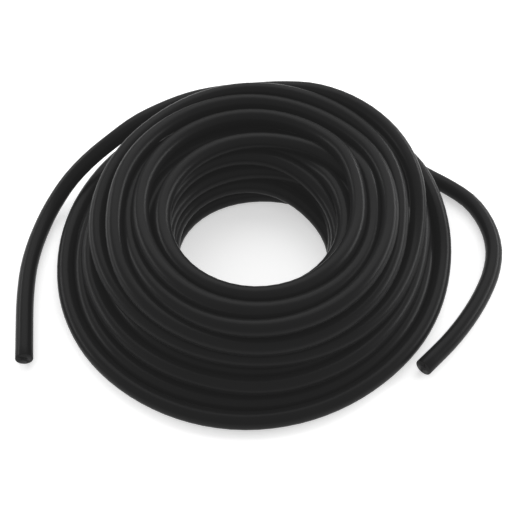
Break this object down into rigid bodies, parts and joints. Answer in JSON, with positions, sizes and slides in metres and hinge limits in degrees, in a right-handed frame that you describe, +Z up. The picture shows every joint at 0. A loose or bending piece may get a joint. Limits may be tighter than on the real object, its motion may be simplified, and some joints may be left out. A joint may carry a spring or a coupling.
{
  "type": "fuel hose",
  "caption": "Loose round coil of black rubber fuel hose lying flat, with an open eye and two free square-cut ends that show the bore.",
  "frame": {"origin": "middle of the whole object's box on the ground, with the coil and both free ends in the box", "axes": "+Z up from the ground, +X to the viewer's right across the coil, +Y away from the viewer"},
  "size_m": [0.2026, 0.1716, 0.035],
  "materials": {
    "hose_rubber": "smooth extruded black rubber with a soft sheen"
  },
  "bodies": {
    "root": {"hose_coil": "hose_rubber", "hose_end_left": "hose_rubber", "hose_end_right": "hose_rubber"}
  },
  "joints": []
}
